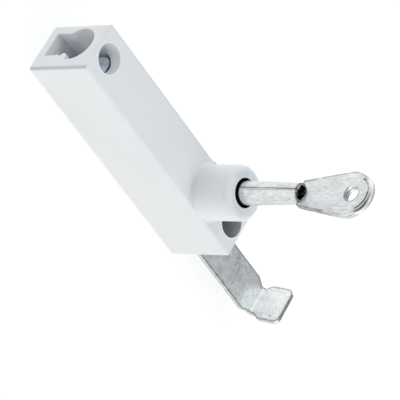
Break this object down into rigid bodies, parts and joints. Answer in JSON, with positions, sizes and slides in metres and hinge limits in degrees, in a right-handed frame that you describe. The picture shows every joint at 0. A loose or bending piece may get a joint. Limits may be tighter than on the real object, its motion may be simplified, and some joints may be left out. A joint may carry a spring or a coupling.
{
  "type": "casement window fastener",
  "caption": "Key-operated casement window fastener: a white cast body with a lock barrel, a removable key, and a sliding steel strip with a hooked end.",
  "frame": {"origin": "centre of the casting's flat mounting face", "axes": "+X along the casting towards the hook, +Z away from the window frame along the key, Y across the casting"},
  "size_m": [0.1112, 0.016, 0.0781],
  "materials": {
    "white_coat": "satin white powder coat on a zinc casting",
    "zinc_plate": "bright zinc plate on rolled steel strip",
    "slider_metal": "as-cast zinc alloy, blue-grey",
    "key_plate": "bright nickel plate on pressed steel sheet",
    "turned_steel": "machined steel",
    "ring_rubber": "matt black"
  },
  "bodies": {
    "housing": {"housing": "white_coat", "retaining_pin": "turned_steel"},
    "hook": {"hook_strip": "zinc_plate", "rack_slider": "slider_metal", "strip_screws": "turned_steel"},
    "spindle": {"drive_spindle": "turned_steel", "drive_pin": "turned_steel", "friction_ring": "ring_rubber"},
    "key": {"key": "key_plate"}
  },
  "joints": [
    {"name": "hook_slide", "type": "slide", "parent": "housing", "child": "hook", "axis": [1, 0, 0], "range_m": [0, 0.00942]},
    {"name": "spindle_turn", "type": "hinge", "parent": "housing", "child": "spindle", "pos_m": [0.0208, 0, 0.02], "axis": [0, 0, 1], "range_deg": [-180, 0]},
    {"name": "key_slide", "type": "slide", "parent": "spindle", "child": "key", "axis": [0, 0, 1], "range_m": [0, 0.012]}
  ],
  "couplings": [
    {"joint": "spindle_turn", "follows": "hook_slide", "rad_per_m": -333.33}
  ]
}
